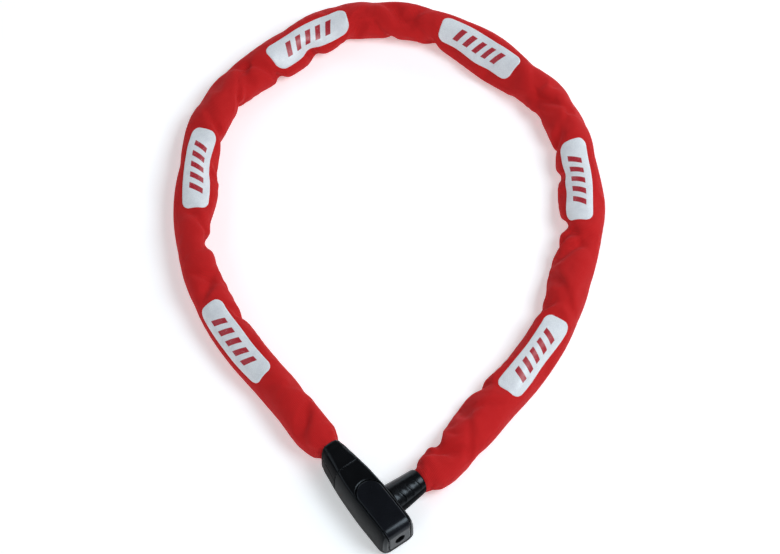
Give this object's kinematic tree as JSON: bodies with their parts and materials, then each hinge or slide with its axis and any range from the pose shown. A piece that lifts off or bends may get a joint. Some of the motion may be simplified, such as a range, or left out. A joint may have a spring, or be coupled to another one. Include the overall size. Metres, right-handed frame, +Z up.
{
  "type": "chain lock",
  "caption": "Key-operated lock of a square-link steel chain in a red fabric sleeve, with a black T-shaped lock body and a bolt with a ribbed collar.",
  "frame": {"origin": "on the flat underside of the lock body, below the point where the bolt's axis crosses the lock cylinder's axis", "axes": "+X along the bolt's axis, out of the body towards the collar; +Y along the body from the keyhole to the chain's nose; +Z up from the surface that the lock lies on"},
  "size_m": [0.3014, 0.3578, 0.027],
  "materials": {
    "shell_plastic": "satin black moulded plastic",
    "inlay_plastic": "fine matt black moulded plastic",
    "collar_plastic": "satin black moulded plastic",
    "red_fabric": "woven red fabric",
    "hard_steel": "hardened steel",
    "cast_zinc": "die-cast zinc",
    "brass": "turned brass",
    "spring_steel": "bright spring steel"
  },
  "bodies": {
    "lock_body": {"main_shell": "shell_plastic", "nose_cap": "shell_plastic", "face_inlay": "inlay_plastic", "cast_core": "cast_zinc", "anchor_pin": "hard_steel", "shell_pin": "spring_steel", "cylinder_pin": "spring_steel", "bolt_bush": "hard_steel", "cylinder_housing": "brass", "latch_spring": "spring_steel", "link_01": "hard_steel", "sleeve_0": "red_fabric"},
    "plug": {"cylinder_plug": "brass", "wafer_1": "brass", "wafer_2": "brass", "wafer_3": "brass", "wafer_4": "brass", "wafer_5": "brass", "plug_circlip": "spring_steel", "plug_cam": "hard_steel"},
    "latch": {"locking_plate": "hard_steel"},
    "chain_1": {"link_02": "hard_steel", "link_03": "hard_steel", "link_04": "hard_steel", "link_05": "hard_steel", "link_06": "hard_steel", "sleeve_1": "red_fabric"},
    "chain_2": {"link_07": "hard_steel", "link_08": "hard_steel", "link_09": "hard_steel", "link_10": "hard_steel", "link_11": "hard_steel", "sleeve_2": "red_fabric"},
    "chain_3": {"link_12": "hard_steel", "link_13": "hard_steel", "link_14": "hard_steel", "link_15": "hard_steel", "link_16": "hard_steel", "sleeve_3": "red_fabric"},
    "chain_4": {"link_17": "hard_steel", "link_18": "hard_steel", "link_19": "hard_steel", "link_20": "hard_steel", "link_21": "hard_steel", "sleeve_4": "red_fabric"},
    "chain_5": {"link_22": "hard_steel", "link_23": "hard_steel", "link_24": "hard_steel", "link_25": "hard_steel", "link_26": "hard_steel", "sleeve_5": "red_fabric"},
    "chain_6": {"link_27": "hard_steel", "link_28": "hard_steel", "link_29": "hard_steel", "link_30": "hard_steel", "sleeve_6": "red_fabric", "locking_bolt": "hard_steel", "collar": "collar_plastic", "collar_pin": "spring_steel"}
  },
  "joints": [
    {"name": "chain_flex_1", "type": "hinge", "parent": "lock_body", "child": "chain_1", "pos_m": [0.00003, 0.0699, 0.0133], "axis": [0, 0, -1], "range_deg": [0, 15]},
    {"name": "chain_flex_2", "type": "hinge", "parent": "chain_1", "child": "chain_2", "pos_m": [0.00792, 0.20895, 0.0133], "axis": [0, 0, 1], "range_deg": [0, 8.42]},
    {"name": "chain_flex_3", "type": "hinge", "parent": "chain_2", "child": "chain_3", "pos_m": [0.11643, 0.31492, 0.0133], "axis": [0, 0, 1], "range_deg": [0, 15.01]},
    {"name": "chain_flex_4", "type": "hinge", "parent": "chain_3", "child": "chain_4", "pos_m": [0.24316, 0.27843, 0.0133], "axis": [0, 0, 1], "range_deg": [0, 6.05]},
    {"name": "chain_flex_5", "type": "hinge", "parent": "chain_4", "child": "chain_5", "pos_m": [0.25969, 0.12899, 0.0133], "axis": [0, 0, 1], "range_deg": [-9.76, 0]},
    {"name": "chain_flex_6", "type": "hinge", "parent": "chain_5", "child": "chain_6", "pos_m": [0.15956, 0.03522, 0.0133], "axis": [0, 0, 1], "range_deg": [-4.72, 0]},
    {"name": "plug_turn", "type": "hinge", "parent": "lock_body", "child": "plug", "pos_m": [0, -0.0155, 0.0133], "axis": [0, -1, 0], "range_deg": [0, 90]},
    {"name": "plate_slide", "type": "slide", "parent": "lock_body", "child": "latch", "axis": [0, 0, 1], "range_m": [0, 0.0034], "deforming": ["latch_spring"]}
  ],
  "couplings": [
    {"joint": "chain_flex_2", "follows": "chain_flex_1", "ratio": 0.5607},
    {"joint": "chain_flex_3", "follows": "chain_flex_1", "ratio": 1},
    {"joint": "chain_flex_4", "follows": "chain_flex_1", "ratio": 0.403},
    {"joint": "chain_flex_5", "follows": "chain_flex_1", "ratio": -0.6499},
    {"joint": "chain_flex_6", "follows": "chain_flex_1", "ratio": -0.3138},
    {"joint": "plug_turn", "follows": "plate_slide", "rad_per_m": 461.99}
  ]
}
